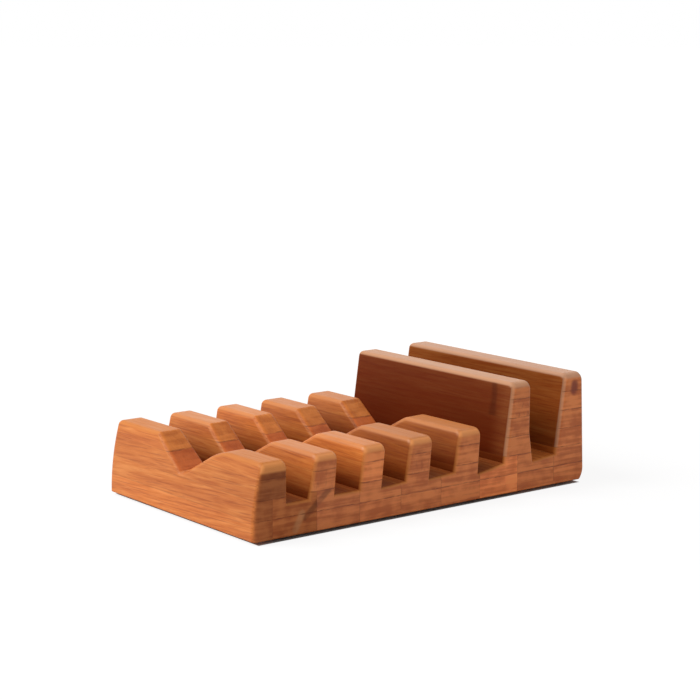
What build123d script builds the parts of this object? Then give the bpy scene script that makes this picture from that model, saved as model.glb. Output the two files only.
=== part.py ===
"""Charging station organizer: a comb block of laminated bamboo on four rubber feet.

Seven fins stand across the block, five low ones in front and two tall ones behind, with six open
slots between them, and a shallow notch runs from front to back through the low fins.
Frame: +Z up, X along the slots, +Y from the front to the back, in millimetres. The origin lies on
the surface that the organizer stands on, under the middle of the block.
"""
import os
from math import asin, ceil, cos, degrees, radians, sin, tan

from build123d import *

os.makedirs("parts", exist_ok=True)

# Block, side to side and bottom to top, with its bowed front and its back that leans forward
block_width = 115.0
low_height = 33.0
sixth_height = 51.0
back_height = 51.7
front_bow_radius = 113.0
back_lean = 2.6

# Fins and slots along the floor, from the front to the back
fin_feet = (17.5, 14.3, 12.7, 14.0, 14.8, 18.7, 19.5)
slot_widths = (11.2, 13.2, 13.1, 14.3, 15.3, 13.8)
fin_heights = (low_height, low_height, low_height, low_height, low_height, sixth_height, back_height)
# Height of the slot floors at the back of each slot, and how far each floor drops to the front
floor_height = 14.4
floor_drops = (0.0, 0.0, 0.8, 0.8, 2.6, 1.4)
# Lean of the wall in front of each slot and of the wall behind it, in degrees from upright
front_wall_leans = (0.0, 5.0, 6.5, 6.0, 4.0, 0.0)
back_wall_leans = (13.0, 9.5, 10.0, 10.5, 8.2, 8.6)
# The sixth fin spreads a little at the back, from this height down to its foot
flare = 2.2
flare_height = 27.0
# The back is rounded off at its foot, from this height down to this far under the block
heel_height = 6.0
heel_depth = 2.2

# Notch: a wide V with a narrow flat bottom, which starts a little to the right of the middle and
# strays to the left on its way back
notch_offset = 0.5
notch_floor_height = 19.2
notch_floor_width = 2.8
notch_left_slope = 34.0
notch_right_slope = 29.4
notch_stray = 4.2

# Rounds, the back edges' one also on the ends of the slot floors
left_corner_round = 2.8
right_corner_round = 4.0
front_edge_round = 2.5
back_edge_round = 1.8
bottom_edge_round = 0.5
notch_floor_round = 2.0
left_shoulder_round = 3.0
right_shoulder_round = 10.0
first_shoulder_round = 28.0

# Bamboo strips, as wide and as thick as they are glued up, save the front one
strip_width = 23.2
strip_thickness = 8.7
first_strip_width = 9.6
base_layers = 2

# Feet
foot_diameter = 12.0
foot_height = 1.5
foot_round = 0.5
foot_inset = 14.0

# Overrun of every cut, and how near to a height an edge has to lie to be picked there
overrun = 5.0
pick = 0.05
# Walls and rims that lean no more than this from upright, in degrees, get their edges rounded
steepest_lean = 25

block_length = sum(fin_feet) + sum(slot_widths)
block_side = block_width / 2
block_front = -block_length / 2
slot_starts = [sum(fin_feet[: n + 1]) + sum(slot_widths[:n]) for n in range(len(slot_widths))]
slot_ends = [start + width for start, width in zip(slot_starts, slot_widths)]
slot_middles = [(start + end) / 2 for start, end in zip(slot_starts, slot_ends)]
low_slots = fin_heights.count(low_height) - 1
reach = max(fin_heights) + overrun

# Side view: its x runs back from the front of the block, its y up from the block's bottom
side_view = Plane(origin=(-block_side, block_front, foot_height), x_dir=(0, 1, 0), z_dir=(1, 0, 0))
# Front view: its x runs to the right from the middle, its y up from the block's bottom
front_view = Plane(origin=(0, block_front, foot_height), x_dir=(1, 0, 0), z_dir=(0, -1, 0))
notch_direction = Vector(-sin(radians(notch_stray)), cos(radians(notch_stray)), 0)


def draw_block():
    """Side view of the block before its slots: bowed front, one step up, back leaning forward."""
    bow = degrees(asin(low_height / front_bow_radius))
    lean = tan(radians(back_lean))
    heel_end = (block_length - heel_height * lean, heel_height)
    CenterArc((front_bow_radius, 0), front_bow_radius, 180 - bow, bow)
    heel = TangentArc(heel_end, (block_length - heel_depth, 0), tangent=(lean, -1))
    Line((0, 0), heel @ 1)
    Polyline(
        heel_end,
        (block_length - back_height * lean, back_height),
        (slot_middles[-1], back_height),
        (slot_middles[-1], sixth_height),
        (slot_middles[-2], sixth_height),
        (slot_middles[-2], low_height),
        (front_bow_radius * (1 - cos(radians(bow))), low_height),
    )


def draw_slot(slot):
    """Side view of one slot: a floor that may drop to the front, and walls that lean back."""
    start = (slot_starts[slot], floor_height - floor_drops[slot])
    end = (slot_ends[slot], floor_height)
    end_top = (end[0] + (reach - end[1]) * tan(radians(back_wall_leans[slot])), reach)
    if slot == len(slot_widths) - 1:
        hollow = start[0] - flare
        Polyline(start, end, end_top, (hollow, reach), (hollow, flare_height), close=True)
    else:
        start_top = (start[0] + (reach - start[1]) * tan(radians(front_wall_leans[slot])), reach)
        Polyline(start, end, end_top, start_top, close=True)


def draw_notch():
    """Front view of the notch: flat bottom and two sloping flanks, carried past the low fins."""
    rise = low_height + overrun - notch_floor_height
    bottom = notch_floor_width / 2
    Polyline(
        (notch_offset - bottom, notch_floor_height),
        (notch_offset + bottom, notch_floor_height),
        (notch_offset + bottom + rise / tan(radians(notch_right_slope)), notch_floor_height + rise),
        (notch_offset - bottom - rise / tan(radians(notch_left_slope)), notch_floor_height + rise),
        close=True,
    )


def at_height(edges, height):
    """The edges whose middle lies at a height above the block's bottom."""
    level = foot_height + height
    return edges.filter_by_position(Axis.Z, level - pick, level + pick)


def notch_edges(height, side):
    """The block's edges along the notch at a height, on its left (-1), its right (1) or both (0)."""
    along = block.edges().filter_by(Axis(block.part.center(), notch_direction))
    stray = tan(radians(notch_stray))
    return at_height(along, height).filter_by(
        lambda edge: side * (edge.center().X - notch_offset + (edge.center().Y - block_front) * stray) >= 0
    )


def rims(facing):
    """The edges round the walls that look to the front (-1) or the back (1), save each lowest one."""
    walls = block.faces().filter_by(lambda face: face.normal_at().Y * facing > cos(radians(steepest_lean)))
    rim = ShapeList(edge for face in walls for edge in face.edges().sort_by(Axis.Z)[1:])
    # The sixth fin's back stays sharp where it starts to spread
    return rim - at_height(block.edges().filter_by(Axis.X), flare_height)


def part_off(front, back, bottom, top):
    """The share of the block between two upright glue lines and two level ones."""
    with BuildPart() as share:
        add(block.part)
        with BuildSketch(side_view.offset(-overrun)):
            with Locations(((front + back) / 2, (bottom + top) / 2)):
                Rectangle(back - front, top - bottom)
        extrude(amount=block_width + 2 * overrun, mode=Mode.INTERSECT)
    return share.part


def write_piece(solid, name):
    """Name one finished piece and write it."""
    with BuildPart() as piece:
        add(solid)
    piece.part.label = name
    export_step(piece.part, f"parts/{name}.step")


# The block as it is shaped after gluing. It is written strip by strip, further down.
with BuildPart() as block:
    with BuildSketch(side_view):
        with BuildLine():
            draw_block()
        make_face()
    extrude(amount=block_width)
    for slot in range(len(slot_widths)):
        with BuildSketch(side_view):
            with BuildLine():
                draw_slot(slot)
            make_face()
        extrude(amount=block_width, mode=Mode.SUBTRACT)

    # Top corners of the fins, sharper at the left than at the right
    for height in set(fin_heights):
        fillet(at_height(block.edges().filter_by(Axis.Y), height).group_by(Axis.X)[-1], right_corner_round)
        fillet(at_height(block.edges().filter_by(Axis.Y), height).group_by(Axis.X)[0], left_corner_round)

    # Notch, with its bottom corners and its shoulders, the front fin's right one the roundest
    with BuildSketch(front_view.offset(overrun)):
        with BuildLine():
            draw_notch()
        make_face()
    notch_length = (slot_middles[low_slots] + overrun) / cos(radians(notch_stray))
    extrude(amount=notch_length, dir=notch_direction, mode=Mode.SUBTRACT)
    fillet(notch_edges(notch_floor_height, 0), notch_floor_round)
    fillet(notch_edges(low_height, -1), left_shoulder_round)
    fillet(notch_edges(low_height, 1).sort_by(Axis.Y)[1:], right_shoulder_round)
    fillet(notch_edges(low_height, 1).sort_by(Axis.Y)[0], first_shoulder_round)

    # Rims of the fins and the ends of the slot floors, and then the nearly sharp edge under the block
    fillet(rims(-1), front_edge_round)
    sides = block.faces().filter_by(Axis.X).edges()
    lowest_floor = foot_height + floor_height - max(floor_drops)
    floor_ends = sides.filter_by_position(Axis.Z, lowest_floor, foot_height + floor_height + pick)
    fillet(rims(1) + floor_ends, back_edge_round)
    fillet(block.faces().sort_by(Axis.Z)[0].edges(), bottom_edge_round)

# Base: two layers of strips side by side, the slot floors milled into the upper one
joint_count = ceil((block_length - first_strip_width) / strip_width)
upright_joints = [first_strip_width + n * strip_width for n in range(joint_count)]
upright_joints = [-overrun, *upright_joints, block_length + overrun]
for layer in range(base_layers):
    bottom = layer * strip_thickness if layer else -overrun
    top = (layer + 1) * strip_thickness
    for strip, (front, back) in enumerate(zip(upright_joints, upright_joints[1:])):
        write_piece(part_off(front, back, bottom, top), f"base_layer_{layer + 1}_strip_{strip + 1}")

# Fins: one lamella on another, the upper one of a low fin parted by the notch
fin_bounds = [-overrun, *slot_middles, block_length + overrun]
for fin, height in enumerate(fin_heights):
    layers = ceil(height / strip_thickness)
    for layer in range(base_layers, layers):
        bottom = layer * strip_thickness
        top = (layer + 1) * strip_thickness if layer < layers - 1 else height + overrun
        name = f"fin_{fin + 1}_layer_{layer + 1}"
        solids = part_off(fin_bounds[fin], fin_bounds[fin + 1], bottom, top).solids().sort_by(Axis.X)
        sides = ("_left", "_right") if len(solids) > 1 else ("",)
        for side, solid in zip(sides, solids):
            write_piece(solid, name + side)

# Feet: four round pads stuck under the corners
for row, y_side in (("front", -1), ("back", 1)):
    for side, x_side in (("left", -1), ("right", 1)):
        foot_place = (x_side * (block_side - foot_inset), y_side * (block_length / 2 - foot_inset))
        with BuildPart() as foot:
            with BuildSketch():
                with Locations(foot_place):
                    Circle(foot_diameter / 2)
            extrude(amount=foot_height)
            fillet(foot.edges().group_by(Axis.Z)[0], foot_round)
        write_piece(foot.part, f"foot_{row}_{side}")
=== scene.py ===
from math import radians

import bmesh
import bpy
from mathutils import Matrix, Vector


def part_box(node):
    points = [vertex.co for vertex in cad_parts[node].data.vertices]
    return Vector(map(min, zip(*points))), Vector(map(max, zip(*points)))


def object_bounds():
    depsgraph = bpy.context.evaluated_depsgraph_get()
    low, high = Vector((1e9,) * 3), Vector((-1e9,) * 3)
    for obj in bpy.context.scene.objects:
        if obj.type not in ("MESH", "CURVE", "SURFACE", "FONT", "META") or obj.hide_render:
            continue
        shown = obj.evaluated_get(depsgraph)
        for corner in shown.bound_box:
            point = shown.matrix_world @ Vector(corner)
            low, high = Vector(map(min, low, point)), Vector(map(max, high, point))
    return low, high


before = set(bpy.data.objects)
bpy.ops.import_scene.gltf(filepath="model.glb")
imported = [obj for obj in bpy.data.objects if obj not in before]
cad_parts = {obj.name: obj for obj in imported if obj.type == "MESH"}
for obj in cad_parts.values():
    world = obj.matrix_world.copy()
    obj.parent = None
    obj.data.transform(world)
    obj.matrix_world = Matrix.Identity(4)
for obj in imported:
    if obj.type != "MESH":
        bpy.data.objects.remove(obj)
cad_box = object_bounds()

# Camera: it stands in front of the organizer to its right, higher than the fins, and looks down a
# little, across the row of fins. The picture is square.
camera_spot = (0.6773, -0.5334, 0.2105)
camera_heading = 51.813
camera_dip = 9.555
camera_lean = 0.218
camera_data = bpy.data.cameras.new("camera")
camera_data.sensor_width = 36.0
camera_data.lens = 97.09
camera_data.clip_start = 0.01
camera = bpy.data.objects.new("camera", camera_data)
bpy.context.scene.collection.objects.link(camera)
camera_turn = Matrix.Rotation(radians(camera_heading), 4, "Z")
camera_pitch = Matrix.Rotation(radians(90 - camera_dip), 4, "X")
camera_roll = Matrix.Rotation(radians(camera_lean), 4, "Z")
camera.matrix_world = Matrix.Translation(camera_spot) @ camera_turn @ camera_pitch @ camera_roll
bpy.context.scene.camera = camera

# Base of the block: two layers of pressed and steamed bamboo strips, glued edge to edge and face
# to face with their fibres along the slots. The slot floors are milled into the upper layer, this
# high above the block's bottom.
floor_height = 0.0144
left_x, right_x = cad_box[0][0], cad_box[1][0]
front_y, back_y = cad_box[0][1], cad_box[1][1]
strip_start, strip_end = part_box("base_layer_1_strip_2")
first_upright_joint, strip_width = strip_start.y, strip_end.y - strip_start.y
block_bottom, strip_thickness = strip_start.z, strip_end.z - strip_start.z
slot_floor = block_bottom + floor_height
low_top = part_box("fin_1_layer_4_left")[1].z
# Painted highlight colour on the fins' tops, the rims round their ends and the slot floors' lips
painted_top_highlight = (0.64, 0.225, 0.052)
# Tint of painted shade on the notch's upper flank
upper_flank_shade = (0.93, 0.96, 0.78)


class Shading:
    """Short names for the shader nodes of one material."""

    def __init__(self, material, shift=(0.0, 0.0, 0.0)):
        self.nodes, self.links, self.shift = material.node_tree.nodes, material.node_tree.links, shift
        self.place = self.node("ShaderNodeTexCoord").outputs["Object"]

    def node(self, kind, **settings):
        made = self.nodes.new(kind)
        for key, value in settings.items():
            setattr(made, key, value)
        return made

    def put(self, value, socket):
        if isinstance(value, bpy.types.NodeSocket):
            self.links.new(value, socket)
        else:
            socket.default_value = value

    def maths(self, operation, *values):
        made = self.node("ShaderNodeMath", operation=operation)
        for value, socket in zip(values, made.inputs):
            self.put(value, socket)
        return made.outputs[0]

    def product(self, *factors):
        result = factors[0]
        for factor in factors[1:]:
            result = self.maths("MULTIPLY", result, factor)
        return result

    def remainder(self, share):
        return self.maths("SUBTRACT", 1.0, share)

    def split(self, vector):
        """X, Y and Z of a vector."""
        made = self.node("ShaderNodeSeparateXYZ")
        self.put(vector, made.inputs[0])
        return made.outputs

    def mix(self, share, first, second, blend="MIX"):
        made = self.node("ShaderNodeMix", data_type="RGBA", blend_type=blend)
        self.put(share, made.inputs[0])
        self.put(first if isinstance(first, bpy.types.NodeSocket) else (*first, 1.0), made.inputs[6])
        self.put(second if isinstance(second, bpy.types.NodeSocket) else (*second, 1.0), made.inputs[7])
        return made.outputs[2]

    def tinted(self, colour, tint):
        return self.mix(1.0, colour, tint, "MULTIPLY")

    def step(self, value, low, high, low_result=0.0, high_result=1.0):
        """Smooth change from one result to the other while a value goes from low to high."""
        made = self.node("ShaderNodeMapRange", interpolation_type="SMOOTHSTEP")
        for number, item in enumerate((value, low, high, low_result, high_result)):
            self.put(item, made.inputs[number])
        return made.outputs[0]

    def noise(self, scales, detail, roughness, offset=0.0, distortion=0.0):
        """Noise stretched by its scales, and shifted so that no two strips are alike."""
        mapping = self.node("ShaderNodeMapping")
        self.put(self.place, mapping.inputs["Vector"])
        mapping.inputs["Location"].default_value = [part + offset for part in self.shift]
        mapping.inputs["Scale"].default_value = scales
        made = self.node("ShaderNodeTexNoise")
        self.put(mapping.outputs["Vector"], made.inputs["Vector"])
        made.inputs["Scale"].default_value = 1.0
        made.inputs["Detail"].default_value = detail
        made.inputs["Roughness"].default_value = roughness
        made.inputs["Distortion"].default_value = distortion
        return made.outputs["Fac"]


class Bamboo(Shading):
    """Bamboo strip with its fibres along X: streaks on the long faces, fibre ends on the side faces."""

    def __init__(self, name, shift, grain_rise):
        self.material = bpy.data.materials.new(name)
        self.material.use_nodes = True
        super().__init__(self.material, shift)
        self.x, self.y, self.z = self.split(self.place)

        # The fibres rise or fall a little along the strip
        risen = self.node("ShaderNodeCombineXYZ")
        risen_z = self.maths("MULTIPLY_ADD", self.x, -grain_rise, self.z)
        for value, socket in zip((self.x, self.y, risen_z), risen.inputs):
            self.put(value, socket)
        self.place = risen.outputs[0]

        # Side faces show fibre ends. Away from them, only the notch's faces lean to a side.
        normal_x, _, self.up = self.split(self.node("ShaderNodeNewGeometry").outputs["Normal"])
        self.sideways = self.maths("ABSOLUTE", normal_x)
        self.end_grain = self.step(self.sideways, 0.45, 0.9)
        beside_ends = (right_x - 0.012, right_x - 0.008)
        self.inner = self.step(self.maths("ABSOLUTE", self.x), *beside_ends, 1.0, 0.0)
        self.slope = self.product(self.inner, self.step(self.sideways, 0.12, 0.30))

        # Patterns of the fibres that more than one face or finish needs
        self.streaks = self.noise((60.0, 900.0, 900.0), 3.0, 0.55)
        self.bands = self.noise((14.0, 230.0, 230.0), 2.0, 0.5, offset=3.0, distortion=0.3)
        self.cloud = self.noise((60.0, 160.0, 160.0), 2.0, 0.5, offset=9.0)

    def long_faces(self, tone, right_tone):
        """Short fine streaks of fibre over soft bands of growth.

        A low right tone darkens and reddens the strip to the right.
        """
        dark, middle, light = (0.50, 0.125, 0.020), (0.61, 0.175, 0.030), (0.72, 0.245, 0.052)
        dash_colour, line_colour = (0.36, 0.075, 0.012), (0.33, 0.065, 0.010)
        dashes = self.noise((90.0, 1400.0, 1500.0), 2.0, 0.5, offset=7.0)
        lines = self.noise((32.0, 1250.0, 1250.0), 2.0, 0.6, offset=17.0)
        value = self.maths("ADD", self.product(self.streaks, 0.5), self.product(self.bands, 0.5))
        colour = self.mix(self.step(value, 0.36, 0.52), dark, middle)
        colour = self.mix(self.step(value, 0.49, 0.66), colour, light)
        colour = self.mix(self.product(self.step(dashes, 0.58, 0.70), 0.35), colour, dash_colour)
        colour = self.mix(self.product(self.step(lines, 0.56, 0.66), 0.50), colour, line_colour)
        colour = self.tinted(colour, (tone, tone, tone))
        right_tint = (right_tone, right_tone ** 1.3, right_tone ** 1.6)
        return self.mix(self.step(self.x, 0.5 * left_x, right_x), colour, self.tinted(colour, right_tint))

    def slot_depth(self, shade_top, open_end):
        """How deep in a slot a point lies: 1 at the foot of its walls, less on its floor and further up.

        The depth sets the painted shade in the slots. The block's own front and back count as outside,
        and so in part may the open end of a slot, where the painted shade is lighter.
        """
        above_floor = (slot_floor + 0.0005, slot_floor + 0.0015)
        behind_front = (front_y + 0.010, front_y + 0.012)
        before_back = (back_y - 0.009, back_y - 0.007)
        floors = self.step(self.z, *above_floor, 0.6, 0.0)
        walls = self.step(self.up, 0.5, 0.9, 1.0, 0.0)
        depth = self.product(
            self.maths("MAXIMUM", floors, walls),
            self.step(self.y, *behind_front),
            self.step(self.y, *before_back, 1.0, 0.0),
            self.remainder(self.end_grain),
            self.step(self.z, slot_floor, shade_top, 1.0, 0.0),
        )
        if open_end:
            near_end = (right_x - 0.0135, right_x - 0.0015)
            depth = self.product(depth, self.step(self.x, *near_end, 1.0, 1.0 - open_end))
        return depth

    def plies(self):
        """Fibre ends, smooth and red-brown, with faint level plies."""
        dark_ply, light_ply = (0.53, 0.130, 0.031), (0.80, 0.246, 0.069)
        plies = self.noise((20.0, 34.0, 560.0), 2.0, 0.5, offset=5.0)
        value = self.maths("ADD", self.product(plies, 0.6), self.product(self.cloud, 0.4))
        return self.mix(self.step(value, 0.38, 0.62), dark_ply, light_ply)

    def marked(self, colour, share):
        """Fibre ends with short upright marks, as a few strips have them."""
        mark_colour = (0.24, 0.05, 0.014)
        marks = self.noise((20.0, 700.0, 260.0), 2.0, 0.5, offset=13.0)
        return self.mix(self.product(self.step(marks, 0.54, 0.68), share), colour, mark_colour)

    def figured(self, colour, start, end, reach, shade, share):
        """Fibre ends with a soft spot or streak, along a short straight line on the right side face."""
        run = Vector(end) - Vector(start)
        along_y = self.product(self.maths("SUBTRACT", self.y, start[0]), run.x / run.length_squared)
        along_z = self.product(self.maths("SUBTRACT", self.z, start[1]), run.y / run.length_squared)
        along = self.maths("MINIMUM", self.maths("MAXIMUM", self.maths("ADD", along_y, along_z), 0.0), 1.0)
        off_y = self.maths("SUBTRACT", self.y, self.maths("MULTIPLY_ADD", along, run.x, start[0]))
        off_z = self.maths("SUBTRACT", self.z, self.maths("MULTIPLY_ADD", along, run.y, start[1]))
        squares = self.maths("ADD", self.maths("POWER", off_y, 2.0), self.maths("POWER", off_z, 2.0))
        core = 0.3 * reach
        near = self.product(
            self.step(self.maths("SQRT", squares), core, reach, 1.0, 0.0),
            self.step(self.cloud, 0.30, 0.55, 0.55, 1.0),
            self.maths("GREATER_THAN", self.x, 0.0),
        )
        return self.mix(self.product(near, share), colour, shade)

    def highlight_share(self):
        """Share of painted highlight: on the tops, on the rims round the fins' ends and on the slot floors'
        lips.
        """
        below_tops = (low_top - 0.012, low_top - 0.006)
        behind_front = (front_y + 0.012, front_y + 0.016)
        lips = self.step(self.sideways, 0.2, 0.5, 0.0, 0.8)
        tops = self.product(self.step(self.up, 0.25, 0.60), self.step(self.z, *below_tops, lips, 1.0))
        rims = self.product(
            self.step(self.sideways, 0.25, 0.50),
            self.step(self.sideways, 0.80, 0.95, 0.65, 0.0),
            self.step(self.y, *behind_front),
            self.step(self.inner, 0.0, 0.2, 1.0, 0.0),
        )
        return self.product(self.maths("MAXIMUM", tops, rims), self.remainder(self.slope))

    def crown_highlighted(self, colour, crown):
        """The rounded crown of a low fin's end, with a painted highlight from the top down to the crown's
        depth.
        """
        crown_highlight_colour = (0.86, 0.33, 0.10)
        crown_edge = (low_top - crown - 0.0008, low_top - crown + 0.0008)
        share = self.product(
            self.step(self.z, *crown_edge, 0.0, 0.8),
            self.step(self.sideways, 0.35, 0.65),
            self.remainder(self.inner),
        )
        return self.mix(share, colour, crown_highlight_colour)

    def flanked(self, colour, plies, flank):
        """The notch's flanks, cut at a slant through the fibres, show part of their fibre ends under a tint
        of painted shade, strongest on the lower flank.
        """
        slanted = self.product(self.step(self.sideways, 0.30, 0.48), self.step(self.up, 0.60, 0.80))
        flank_colour = self.tinted(self.mix(0.65, colour, plies), flank)
        return self.mix(self.product(self.slope, slanted), colour, flank_colour)

    def glue_lines(self, upright_joints):
        """Glue lines, thin and a little broken, and faint where the fibres run along them."""
        level_edge, upright_edge = (0.00012, 0.00040), (0.00010, 0.00028)
        level = self.maths("PINGPONG", self.maths("SUBTRACT", self.z, block_bottom), strip_thickness / 2)
        lines = self.step(level, *level_edge, 1.0, 0.0)
        if upright_joints:
            past_joint = self.maths("SUBTRACT", self.y, first_upright_joint)
            upright = self.maths("PINGPONG", past_joint, strip_width / 2)
            lines = self.maths("MAXIMUM", lines, self.step(upright, *upright_edge, 0.6, 0.0))
        cut_across = self.maths("MULTIPLY_ADD", self.maths("MAXIMUM", self.end_grain, self.slope), 0.7, 0.3)
        return self.product(lines, cut_across, self.step(self.bands, 0.38, 0.60, 0.15, 0.65))

    def knuckled(self, colour, knuckle, painted_highlight):
        """The ring where a leaf grew, a soft dark band across the fibres."""
        knuckle_colour = (0.04, 0.006, 0.002)
        band_edge = (0.0008, 0.0034)
        wave_height = 0.006
        wave = self.product(self.noise((90.0, 90.0, 90.0), 1.0, 0.5, offset=11.0), wave_height)
        middle = knuckle + 0.5 * wave_height
        off = self.maths("ABSOLUTE", self.maths("SUBTRACT", self.maths("ADD", self.x, wave), middle))
        band = self.product(self.step(off, *band_edge, 0.40, 0.0), self.remainder(painted_highlight))
        return self.mix(band, colour, knuckle_colour)

    def lacquer(self, colour, depth, painted_highlight, glue, dull_ends):
        """Thin lacquer, duller deep in the slots, in the notch and on the front fin's top and ends.

        The wood under it dips a little along the fibres and the glue lines.
        """
        surface = self.nodes["Principled BSDF"]
        self.put(colour, surface.inputs["Base Color"])
        roughness = self.step(self.streaks, 0.3, 0.7, 0.50, 0.38)
        self.put(self.maths("MULTIPLY_ADD", depth, 0.2, roughness), surface.inputs["Roughness"])
        dull = self.maths("MAXIMUM", depth, self.product(self.slope, 0.6))
        top_and_ends = self.maths("MAXIMUM", self.end_grain, painted_highlight)
        dull = self.maths("MAXIMUM", dull, self.product(top_and_ends, dull_ends))
        self.put(self.maths("MULTIPLY_ADD", dull, -0.40, 0.42), surface.inputs["Specular IOR Level"])
        surface.inputs["IOR"].default_value = 1.45
        bump = self.node("ShaderNodeBump")
        bump.inputs["Strength"].default_value = 0.2
        bump.inputs["Distance"].default_value = 0.0003
        self.put(self.maths("SUBTRACT", self.streaks, self.product(glue, 0.4)), bump.inputs["Height"])
        self.put(bump.outputs["Normal"], surface.inputs["Normal"])


def finish_strip(
    name, tone, end_tone, shift, top_highlight_colour=painted_top_highlight, flank=upper_flank_shade, shade_top=low_top,
    slot_shade=0.78, open_end=0.0, marks=0.0, right_tone=1.0, dull_ends=0.0,
    upright_joints=False, grain_rise=0.0, crown=0.0, knuckle=None, figures=(),
):
    """Gives one strip of the block its own piece of bamboo."""
    slot_shade_colour = (0.11, 0.011, 0.002)
    glue_colour = (0.15, 0.030, 0.008)
    wood = Bamboo("bamboo_" + name, shift, grain_rise)
    depth = wood.slot_depth(shade_top, open_end)
    painted_highlight = wood.highlight_share()
    glue = wood.glue_lines(upright_joints)
    plies = wood.plies()

    # Painted shade: inside the slots the wood is darker and redder the deeper it lies
    colour = wood.mix(wood.product(depth, slot_shade), wood.long_faces(tone, right_tone), slot_shade_colour)
    end_colour = wood.marked(plies, marks) if marks else plies
    for figure in figures:
        end_colour = wood.figured(end_colour, **figure)
    colour = wood.mix(wood.end_grain, colour, wood.tinted(end_colour, (end_tone, end_tone, end_tone)))
    # Painted highlight on the tops, the rims round the fins' ends and the slot floors' lips
    colour = wood.mix(wood.product(painted_highlight, 0.65), colour, top_highlight_colour)
    if crown:
        colour = wood.crown_highlighted(colour, crown)
    colour = wood.flanked(colour, plies, flank)
    colour = wood.mix(glue, colour, glue_colour)
    if knuckle is not None:
        colour = wood.knuckled(colour, knuckle, painted_highlight)
    wood.lacquer(colour, depth, painted_highlight, glue, dull_ends)
    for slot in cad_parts[name].material_slots:
        slot.material = wood.material


# On the right side face a dark streak falls to the front, with a pale patch at its lower end. The
# front strips have duller ends. The last slot's floor gets hardly any painted shade, and the eighth
# strip's higher tone paints light onto it.
dark_streak = {
    "start": (front_y + 0.0390, 0.0185), "end": (front_y + 0.0265, 0.0085), "reach": 0.0021,
    "shade": (0.19, 0.045, 0.010), "share": 0.62,
}
pale_patch = {
    "start": (front_y + 0.0250, 0.0105), "end": (front_y + 0.0215, 0.0040), "reach": 0.0024,
    "shade": (0.80, 0.36, 0.15), "share": 0.60,
}
front_dullness = 0.6
slot_shade, last_slot_shade = 0.85, 0.25
base_tones = (1.10, 1.0, 0.95, 1.0, 1.0, 1.02, 1.05, 1.40, 1.0)
base_end_tones = (0.58, 0.68, 0.92, 1.00, 0.98, 1.00, 1.34, 1.00, 1.04)
for layer, layer_tone, layer_end_tone in ((1, 1.0, 1.04), (2, 0.90, 0.97)):
    for strip, (tone, end_tone) in enumerate(zip(base_tones, base_end_tones), 1):
        finish_strip(
            f"base_layer_{layer}_strip_{strip}",
            tone=layer_tone * tone,
            end_tone=layer_end_tone * end_tone,
            shift=(3.1 * strip, 1.7 * layer + strip, 2.3 * strip - layer),
            right_tone=0.92 if strip == 1 else 1.0,
            dull_ends=front_dullness if strip < 3 else 0.0,
            slot_shade=slot_shade if strip < 8 else last_slot_shade,
            upright_joints=True,
            grain_rise=0.06 if strip == 1 else 0.01 * (layer - 1.5),
            figures=(dark_streak, pale_patch) if strip in (2, 3) else (),
        )

# Low fins: one lamella on another, cut through by the notch, so that the upper one is left as a
# piece on either side. They are sanded round and lacquered with the rest of the block. The fourth
# and the fifth darken to the right, a painted shadow.
low_tones = (0.96, 1.02, 1.14, 0.93, 0.88)
low_right_tones = (0.88, 1.0, 1.0, 0.56, 0.66)
low_end_tones = (0.47, 0.96, 1.22, 0.94, 0.98)
low_shades = (0.80, 0.80, 0.80, 0.40, 0.88)
# Tint of painted shade on the notch's lower flank
low_flank_shade = (0.81, 0.65, 0.57)
front_crown, other_crown = 0.0042, 0.0028
low_finishes = zip(low_tones, low_right_tones, low_end_tones, low_shades)
for fin, (tone, right_tone, end_tone, slot_shade) in enumerate(low_finishes, 1):
    finish_strip(
        f"fin_{fin}_layer_3",
        tone=tone,
        end_tone=end_tone,
        shift=(fin * 2.0, fin * 1.3, 5.0),
        flank=low_flank_shade,
        slot_shade=slot_shade,
        marks=0.22 if fin in (2, 4) else 0.0,
        right_tone=right_tone,
        dull_ends=front_dullness if fin == 1 else 0.0,
        grain_rise=0.05 if fin == 1 else 0.01 * (fin - 3),
    )
    for side, step_on in (("left", 1.0), ("right", -1.0)):
        finish_strip(
            f"fin_{fin}_layer_4_{side}",
            tone=1.06 * tone,
            end_tone=0.94 * end_tone,
            shift=(fin * 1.1 + step_on, 7.0, fin),
            slot_shade=slot_shade,
            right_tone=right_tone,
            dull_ends=front_dullness if fin == 1 else 0.0,
            grain_rise=0.02 * step_on,
            crown=front_crown if fin == 1 else other_crown,
        )

# Tall fins: four lamellas each, of darker strips than the low fins, and darker still by painted
# shade far up their slot walls. The sixth has a knuckle in its front face and less painted shade
# near the fifth slot's open right end, and the last one has a small dark knot high on its right end.
knot = {
    "start": (front_y + 0.1843, 0.0452), "end": (front_y + 0.1846, 0.0478), "reach": 0.0033,
    "shade": (0.20, 0.030, 0.015), "share": 0.85,
}
knuckle_x = 0.045
# The last colour of each tall fin is the painted highlight on its top
tall_fins = (
    (6, 0.60, 0.92, 0.94, 0.140, (0.71, 0.38, 0.21)),
    (7, 0.76, 1.02, 0.62, 0.300, (0.64, 0.37, 0.23)),
)
for fin, tone, end_tone, slot_shade, shade_top, top_highlight_colour in tall_fins:
    for layer in (3, 4, 5, 6):
        finish_strip(
            f"fin_{fin}_layer_{layer}",
            tone=tone + 0.02 * (layer % 2),
            end_tone=end_tone + 0.03 * (layer % 2),
            shift=(fin * 2.3, layer * 1.9, fin - layer),
            top_highlight_colour=top_highlight_colour,
            shade_top=shade_top,
            slot_shade=slot_shade,
            open_end=0.25 if fin == 6 else 0.0,
            marks=0.3 if (fin, layer) == (6, 5) else 0.0,
            grain_rise=0.01 * (layer - 4),
            knuckle=knuckle_x if (fin, layer) in ((6, 5), (6, 6)) else None,
            figures=(knot,) if fin == 7 else (),
        )

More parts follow.
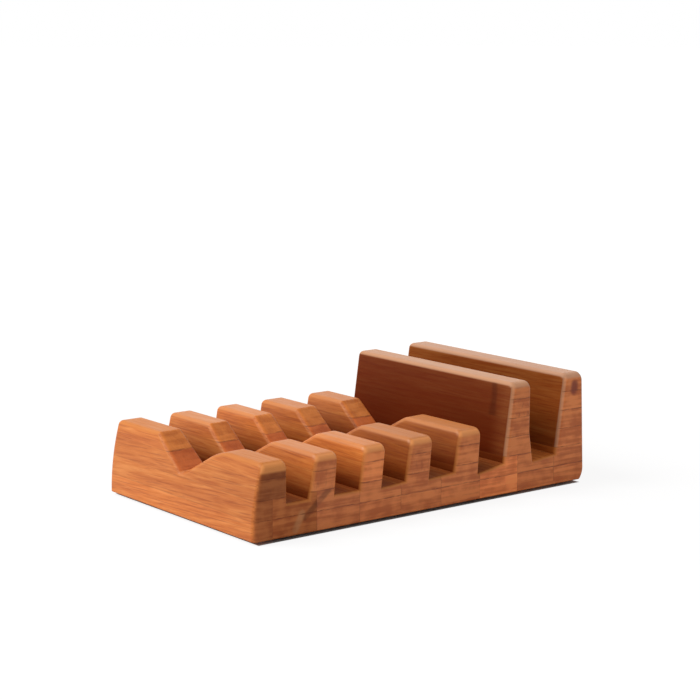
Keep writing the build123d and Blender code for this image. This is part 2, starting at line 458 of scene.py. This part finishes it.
# Feet: round pads of soft black rubber, stuck under the corners of the block with their own glue
# film, so that the block stands still
rubber = bpy.data.materials.new("rubber")
rubber.use_nodes = True
rubber_surface = rubber.node_tree.nodes["Principled BSDF"]
rubber_surface.inputs["Base Color"].default_value = (0.03, 0.03, 0.03, 1.0)
rubber_surface.inputs["Roughness"].default_value = 0.75
for row in ("front", "back"):
    for side in ("left", "right"):
        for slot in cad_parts[f"foot_{row}_{side}"].material_slots:
            slot.material = rubber

# Floor: a wide pale sheet that shows white to the camera, less so near the organizer, where it
# keeps the shadow, and not at all under it
floor_reach = 20.0
shadow_edge = (0.12, 0.45)
glow_under_sides, glow_under_ends = 0.0004, 0.0025
floor_mesh = bpy.data.meshes.new("floor")
floor_shape = bmesh.new()
bmesh.ops.create_grid(floor_shape, x_segments=1, y_segments=1, size=floor_reach)
floor_shape.to_mesh(floor_mesh)
floor_shape.free()
floor = bpy.data.objects.new("floor", floor_mesh)
bpy.context.scene.collection.objects.link(floor)
paper = bpy.data.materials.new("paper")
paper.use_nodes = True
paper_surface = paper.node_tree.nodes["Principled BSDF"]
paper_surface.inputs["Base Color"].default_value = (0.80, 0.80, 0.80, 1.0)
paper_surface.inputs["Roughness"].default_value = 1.0
paper_surface.inputs["Specular IOR Level"].default_value = 0.0
sheet = Shading(paper)
glow = sheet.node("ShaderNodeEmission")
glow.inputs["Strength"].default_value = 1.06
distance = sheet.node("ShaderNodeVectorMath", operation="LENGTH")
sheet.put(sheet.place, distance.inputs[0])
floor_x, floor_y, _ = sheet.split(sheet.place)
past_sides = sheet.maths("GREATER_THAN", sheet.maths("ABSOLUTE", floor_x), right_x - glow_under_sides)
past_ends = sheet.maths("GREATER_THAN", sheet.maths("ABSOLUTE", floor_y), back_y - glow_under_ends)
glow_share = sheet.step(distance.outputs["Value"], *shadow_edge, 0.84, 1.0)
seen = sheet.node("ShaderNodeLightPath").outputs["Is Camera Ray"]
glow_share = sheet.product(glow_share, sheet.maths("MAXIMUM", past_sides, past_ends), seen)
sheet_mix = sheet.node("ShaderNodeMixShader")
sheet.put(glow_share, sheet_mix.inputs["Fac"])
sheet.links.new(paper_surface.outputs[0], sheet_mix.inputs[1])
sheet.links.new(glow.outputs[0], sheet_mix.inputs[2])
sheet.links.new(sheet_mix.outputs[0], sheet.nodes["Material Output"].inputs["Surface"])
floor_mesh.materials.append(paper)

# Light: a large soft lamp to the left of the front, and a pale room all round that is white to the
# camera and in the lacquer
world = bpy.data.worlds.new("room")
bpy.context.scene.world = world
world.use_nodes = True
room_nodes, room_links = world.node_tree.nodes, world.node_tree.links
room_light = room_nodes["Background"]
room_light.inputs["Color"].default_value = (1.0, 0.98, 0.96, 1.0)
room_light.inputs["Strength"].default_value = 0.40
room_white = room_nodes.new("ShaderNodeBackground")
room_white.inputs["Color"].default_value = (1.0, 1.0, 1.0, 1.0)
room_white.inputs["Strength"].default_value = 1.0
room_path = room_nodes.new("ShaderNodeLightPath")
room_seen = room_nodes.new("ShaderNodeMath")
room_seen.operation = "MAXIMUM"
room_links.new(room_path.outputs["Is Camera Ray"], room_seen.inputs[0])
room_links.new(room_path.outputs["Is Glossy Ray"], room_seen.inputs[1])
room_mix = room_nodes.new("ShaderNodeMixShader")
room_links.new(room_seen.outputs[0], room_mix.inputs["Fac"])
room_links.new(room_light.outputs[0], room_mix.inputs[1])
room_links.new(room_white.outputs[0], room_mix.inputs[2])
room_links.new(room_mix.outputs[0], room_nodes["World Output"].inputs["Surface"])

lamp_data = bpy.data.lights.new("softbox", "AREA")
lamp_data.shape = "SQUARE"
lamp_data.size = 0.8
lamp_data.energy = 17.0
lamp = bpy.data.objects.new("softbox", lamp_data)
bpy.context.scene.collection.objects.link(lamp)
lamp_spot = Vector((-0.45, -0.80, 1.10))
lamp_turn = lamp_spot.to_track_quat("Z", "Y").to_matrix().to_4x4()
lamp.matrix_world = Matrix.Translation(lamp_spot) @ lamp_turn

bpy.context.scene.view_settings.view_transform = "Standard"
